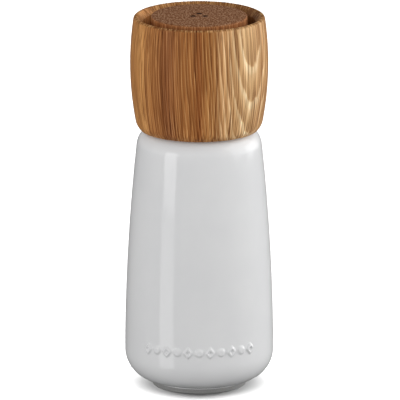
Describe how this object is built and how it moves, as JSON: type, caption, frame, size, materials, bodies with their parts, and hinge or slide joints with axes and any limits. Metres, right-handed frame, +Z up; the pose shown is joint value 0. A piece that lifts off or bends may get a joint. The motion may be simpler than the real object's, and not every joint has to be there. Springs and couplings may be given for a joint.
{
  "type": "pepper mill",
  "caption": "Hand pepper mill with a tapered glazed stoneware body, a barrel-shaped oak head that turns to grind, and a sunken oak knob that sets how fine it grinds.",
  "frame": {"origin": "centre of the foot's underside, on the table", "axes": "+Z up along the mill's axis; +X to the right and +Y away from the viewer, with the body's relief facing -Y"},
  "size_m": [0.0647, 0.0648, 0.165],
  "materials": {
    "stoneware": "gloss",
    "oak": "satin",
    "oak_end_grain": "satin",
    "acetal": "satin",
    "dark_nylon": "satin",
    "silicone": "matte",
    "burr_ceramic": "matte",
    "stainless": "satin",
    "screw_steel": "polished",
    "spring_steel": "polished",
    "brass": "satin",
    "fluoropolymer": "satin"
  },
  "bodies": {
    "mill_body": {"stoneware_body": "stoneware", "neck_collar": "acetal", "grinder_housing": "dark_nylon", "base_gasket": "silicone", "floor_seal": "silicone", "housing_nut": "dark_nylon", "outer_burr": "burr_ceramic", "burr_retainer": "stainless", "retainer_screws": "screw_steel", "bearing_spider": "dark_nylon", "shaft_bush": "acetal", "thrust_spring": "spring_steel"},
    "head": {"oak_head": "oak", "head_insert": "dark_nylon", "spigot_o_ring": "silicone", "glide_ring": "fluoropolymer", "drive_plate": "stainless", "drive_plate_screws": "screw_steel", "top_bush": "acetal"},
    "knob": {"knob_disc": "oak_end_grain", "knob_nut": "brass", "knob_nut_screws": "screw_steel", "friction_washer": "acetal"},
    "drive_train": {"drive_shaft": "stainless", "inner_burr": "burr_ceramic", "burr_core": "brass", "burr_washer": "stainless", "burr_screw": "screw_steel", "spring_seat": "acetal"}
  },
  "joints": [
    {"name": "head_turn", "type": "hinge", "parent": "mill_body", "child": "head", "pos_m": [0, 0, 0.1146], "axis": [0, 0, 1], "continuous": true},
    {"name": "knob_turn", "type": "hinge", "parent": "head", "child": "knob", "pos_m": [0, 0, 0.158], "axis": [0, 0, -1], "range_deg": [0, 720]},
    {"name": "shaft_lift", "type": "slide", "parent": "head", "child": "drive_train", "axis": [0, 0, 1], "range_m": [0, 0.0016], "deforming": ["thrust_spring"]}
  ],
  "couplings": [
    {"joint": "knob_turn", "follows": "shaft_lift", "rad_per_m": 7854}
  ]
}
